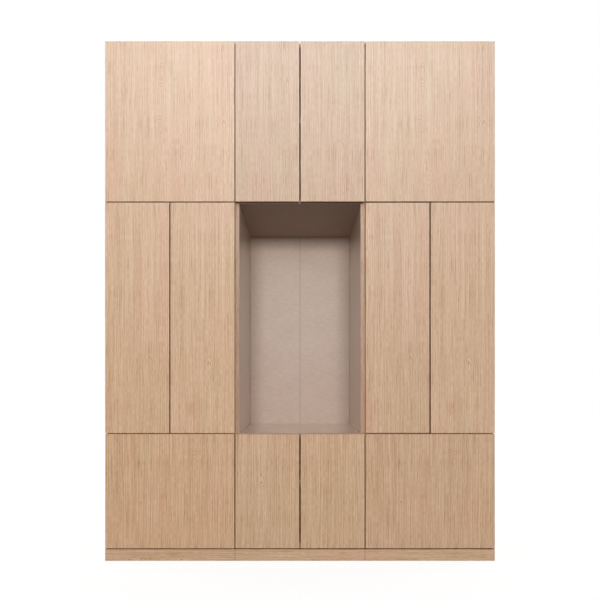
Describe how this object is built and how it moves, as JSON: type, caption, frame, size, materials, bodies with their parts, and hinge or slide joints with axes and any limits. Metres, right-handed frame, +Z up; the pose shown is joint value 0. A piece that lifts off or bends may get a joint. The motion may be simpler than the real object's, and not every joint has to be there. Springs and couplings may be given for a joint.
{
  "type": "modular wardrobe",
  "caption": "Modular wardrobe of side-by-side units with handleless hinged doors in rows, an open niche, shelves, clothes rails and a plinth.",
  "frame": {"origin": "middle of the wardrobe's footprint, at floor level", "axes": "+Z up; the door faces look along -Y and the wall is at +Y; +X runs to the right as seen from the front"},
  "size_m": [1.8, 0.58, 2.4],
  "materials": {
    "oak_decor": "light oak decor on board, satin, straight upright grain",
    "linen_decor": "taupe melamine on board with a fine linen texture, matt",
    "nickel_steel": "nickel-plated pressed steel",
    "chrome_rail": "chromed steel tube and sockets",
    "grey_plastic": "moulded grey plastic",
    "pale_plastic": "moulded off-white plastic"
  },
  "bodies": {
    "carcass": {"left_unit_left_side": "oak_decor", "left_unit_right_side": "linen_decor", "middle_unit_left_side": "linen_decor", "middle_unit_right_side": "linen_decor", "right_unit_left_side": "linen_decor", "right_unit_right_side": "oak_decor", "top_boards": "linen_decor", "bottom_boards": "linen_decor", "lower_fixed_shelves": "linen_decor", "upper_fixed_shelves": "linen_decor", "adjustable_shelves": "linen_decor", "back_panels": "linen_decor", "back_joining_strips": "linen_decor", "plinth_boards": "oak_decor", "plinth_rails": "linen_decor", "shelf_supports": "pale_plastic", "clothes_rails": "chrome_rail", "rail_sockets": "chrome_rail", "hinge_arms": "nickel_steel", "hinge_plates": "nickel_steel", "latch_housings": "grey_plastic", "wall_brackets": "nickel_steel", "connecting_bolts": "nickel_steel", "floor_glides": "pale_plastic"},
    "door_top_left": {"door_top_left": "oak_decor", "hinge_cups_top_left": "nickel_steel"},
    "door_top_middle_l": {"door_top_middle_l": "oak_decor", "hinge_cups_top_middle_l": "nickel_steel"},
    "door_top_middle_r": {"door_top_middle_r": "oak_decor", "hinge_cups_top_middle_r": "nickel_steel"},
    "door_top_right": {"door_top_right": "oak_decor", "hinge_cups_top_right": "nickel_steel"},
    "door_mid_left_l": {"door_mid_left_l": "oak_decor", "hinge_cups_mid_left_l": "nickel_steel"},
    "door_mid_left_r": {"door_mid_left_r": "oak_decor", "hinge_cups_mid_left_r": "nickel_steel"},
    "door_mid_right_l": {"door_mid_right_l": "oak_decor", "hinge_cups_mid_right_l": "nickel_steel"},
    "door_mid_right_r": {"door_mid_right_r": "oak_decor", "hinge_cups_mid_right_r": "nickel_steel"},
    "door_low_left": {"door_low_left": "oak_decor", "hinge_cups_low_left": "nickel_steel"},
    "door_low_middle_l": {"door_low_middle_l": "oak_decor", "hinge_cups_low_middle_l": "nickel_steel"},
    "door_low_middle_r": {"door_low_middle_r": "oak_decor", "hinge_cups_low_middle_r": "nickel_steel"},
    "door_low_right": {"door_low_right": "oak_decor", "hinge_cups_low_right": "nickel_steel"},
    "plunger_top_left": {"plunger_top_left": "pale_plastic"},
    "plunger_top_middle_l": {"plunger_top_middle_l": "pale_plastic"},
    "plunger_top_middle_r": {"plunger_top_middle_r": "pale_plastic"},
    "plunger_top_right": {"plunger_top_right": "pale_plastic"},
    "plunger_mid_left_l": {"plunger_mid_left_l": "pale_plastic"},
    "plunger_mid_left_r": {"plunger_mid_left_r": "pale_plastic"},
    "plunger_mid_right_l": {"plunger_mid_right_l": "pale_plastic"},
    "plunger_mid_right_r": {"plunger_mid_right_r": "pale_plastic"},
    "plunger_low_left": {"plunger_low_left": "pale_plastic"},
    "plunger_low_middle_l": {"plunger_low_middle_l": "pale_plastic"},
    "plunger_low_middle_r": {"plunger_low_middle_r": "pale_plastic"},
    "plunger_low_right": {"plunger_low_right": "pale_plastic"}
  },
  "joints": [
    {"name": "door_top_left_hinge", "type": "hinge", "parent": "carcass", "child": "door_top_left", "pos_m": [-0.89025, -0.283, 2.0285], "axis": [0, 0, -1], "range_deg": [0, 95]},
    {"name": "door_top_middle_l_hinge", "type": "hinge", "parent": "carcass", "child": "door_top_middle_l", "pos_m": [-0.29025, -0.283, 2.0285], "axis": [0, 0, -1], "range_deg": [0, 95]},
    {"name": "door_top_middle_r_hinge", "type": "hinge", "parent": "carcass", "child": "door_top_middle_r", "pos_m": [0.29025, -0.283, 2.0285], "axis": [0, 0, 1], "range_deg": [0, 95]},
    {"name": "door_top_right_hinge", "type": "hinge", "parent": "carcass", "child": "door_top_right", "pos_m": [0.89025, -0.283, 2.0285], "axis": [0, 0, 1], "range_deg": [0, 95]},
    {"name": "door_mid_left_l_hinge", "type": "hinge", "parent": "carcass", "child": "door_mid_left_l", "pos_m": [-0.89025, -0.283, 1.1235], "axis": [0, 0, -1], "range_deg": [0, 95]},
    {"name": "door_mid_left_r_hinge", "type": "hinge", "parent": "carcass", "child": "door_mid_left_r", "pos_m": [-0.30975, -0.283, 1.1235], "axis": [0, 0, 1], "range_deg": [0, 95]},
    {"name": "door_mid_right_l_hinge", "type": "hinge", "parent": "carcass", "child": "door_mid_right_l", "pos_m": [0.30975, -0.283, 1.1235], "axis": [0, 0, -1], "range_deg": [0, 95]},
    {"name": "door_mid_right_r_hinge", "type": "hinge", "parent": "carcass", "child": "door_mid_right_r", "pos_m": [0.89025, -0.283, 1.1235], "axis": [0, 0, 1], "range_deg": [0, 95]},
    {"name": "door_low_left_hinge", "type": "hinge", "parent": "carcass", "child": "door_low_left", "pos_m": [-0.89025, -0.283, 0.324], "axis": [0, 0, -1], "range_deg": [0, 95]},
    {"name": "door_low_middle_l_hinge", "type": "hinge", "parent": "carcass", "child": "door_low_middle_l", "pos_m": [-0.29025, -0.283, 0.324], "axis": [0, 0, -1], "range_deg": [0, 95]},
    {"name": "door_low_middle_r_hinge", "type": "hinge", "parent": "carcass", "child": "door_low_middle_r", "pos_m": [0.29025, -0.283, 0.324], "axis": [0, 0, 1], "range_deg": [0, 95]},
    {"name": "door_low_right_hinge", "type": "hinge", "parent": "carcass", "child": "door_low_right", "pos_m": [0.89025, -0.283, 0.324], "axis": [0, 0, 1], "range_deg": [0, 95]},
    {"name": "plunger_top_left_slide", "type": "slide", "parent": "carcass", "child": "plunger_top_left", "axis": [0, -1, 0], "range_m": [0, 0.02]},
    {"name": "plunger_top_middle_l_slide", "type": "slide", "parent": "carcass", "child": "plunger_top_middle_l", "axis": [0, -1, 0], "range_m": [0, 0.02]},
    {"name": "plunger_top_middle_r_slide", "type": "slide", "parent": "carcass", "child": "plunger_top_middle_r", "axis": [0, -1, 0], "range_m": [0, 0.02]},
    {"name": "plunger_top_right_slide", "type": "slide", "parent": "carcass", "child": "plunger_top_right", "axis": [0, -1, 0], "range_m": [0, 0.02]},
    {"name": "plunger_mid_left_l_slide", "type": "slide", "parent": "carcass", "child": "plunger_mid_left_l", "axis": [0, -1, 0], "range_m": [0, 0.02]},
    {"name": "plunger_mid_left_r_slide", "type": "slide", "parent": "carcass", "child": "plunger_mid_left_r", "axis": [0, -1, 0], "range_m": [0, 0.02]},
    {"name": "plunger_mid_right_l_slide", "type": "slide", "parent": "carcass", "child": "plunger_mid_right_l", "axis": [0, -1, 0], "range_m": [0, 0.02]},
    {"name": "plunger_mid_right_r_slide", "type": "slide", "parent": "carcass", "child": "plunger_mid_right_r", "axis": [0, -1, 0], "range_m": [0, 0.02]},
    {"name": "plunger_low_left_slide", "type": "slide", "parent": "carcass", "child": "plunger_low_left", "axis": [0, -1, 0], "range_m": [0, 0.02]},
    {"name": "plunger_low_middle_l_slide", "type": "slide", "parent": "carcass", "child": "plunger_low_middle_l", "axis": [0, -1, 0], "range_m": [0, 0.02]},
    {"name": "plunger_low_middle_r_slide", "type": "slide", "parent": "carcass", "child": "plunger_low_middle_r", "axis": [0, -1, 0], "range_m": [0, 0.02]},
    {"name": "plunger_low_right_slide", "type": "slide", "parent": "carcass", "child": "plunger_low_right", "axis": [0, -1, 0], "range_m": [0, 0.02]}
  ],
  "couplings": [
    {"joint": "plunger_top_left_slide", "follows": "door_top_left_hinge", "m_per_rad": 0.01206},
    {"joint": "plunger_top_middle_l_slide", "follows": "door_top_middle_l_hinge", "m_per_rad": 0.01206},
    {"joint": "plunger_top_middle_r_slide", "follows": "door_top_middle_r_hinge", "m_per_rad": 0.01206},
    {"joint": "plunger_top_right_slide", "follows": "door_top_right_hinge", "m_per_rad": 0.01206},
    {"joint": "plunger_mid_left_l_slide", "follows": "door_mid_left_l_hinge", "m_per_rad": 0.01206},
    {"joint": "plunger_mid_left_r_slide", "follows": "door_mid_left_r_hinge", "m_per_rad": 0.01206},
    {"joint": "plunger_mid_right_l_slide", "follows": "door_mid_right_l_hinge", "m_per_rad": 0.01206},
    {"joint": "plunger_mid_right_r_slide", "follows": "door_mid_right_r_hinge", "m_per_rad": 0.01206},
    {"joint": "plunger_low_left_slide", "follows": "door_low_left_hinge", "m_per_rad": 0.01206},
    {"joint": "plunger_low_middle_l_slide", "follows": "door_low_middle_l_hinge", "m_per_rad": 0.01206},
    {"joint": "plunger_low_middle_r_slide", "follows": "door_low_middle_r_hinge", "m_per_rad": 0.01206},
    {"joint": "plunger_low_right_slide", "follows": "door_low_right_hinge", "m_per_rad": 0.01206}
  ]
}
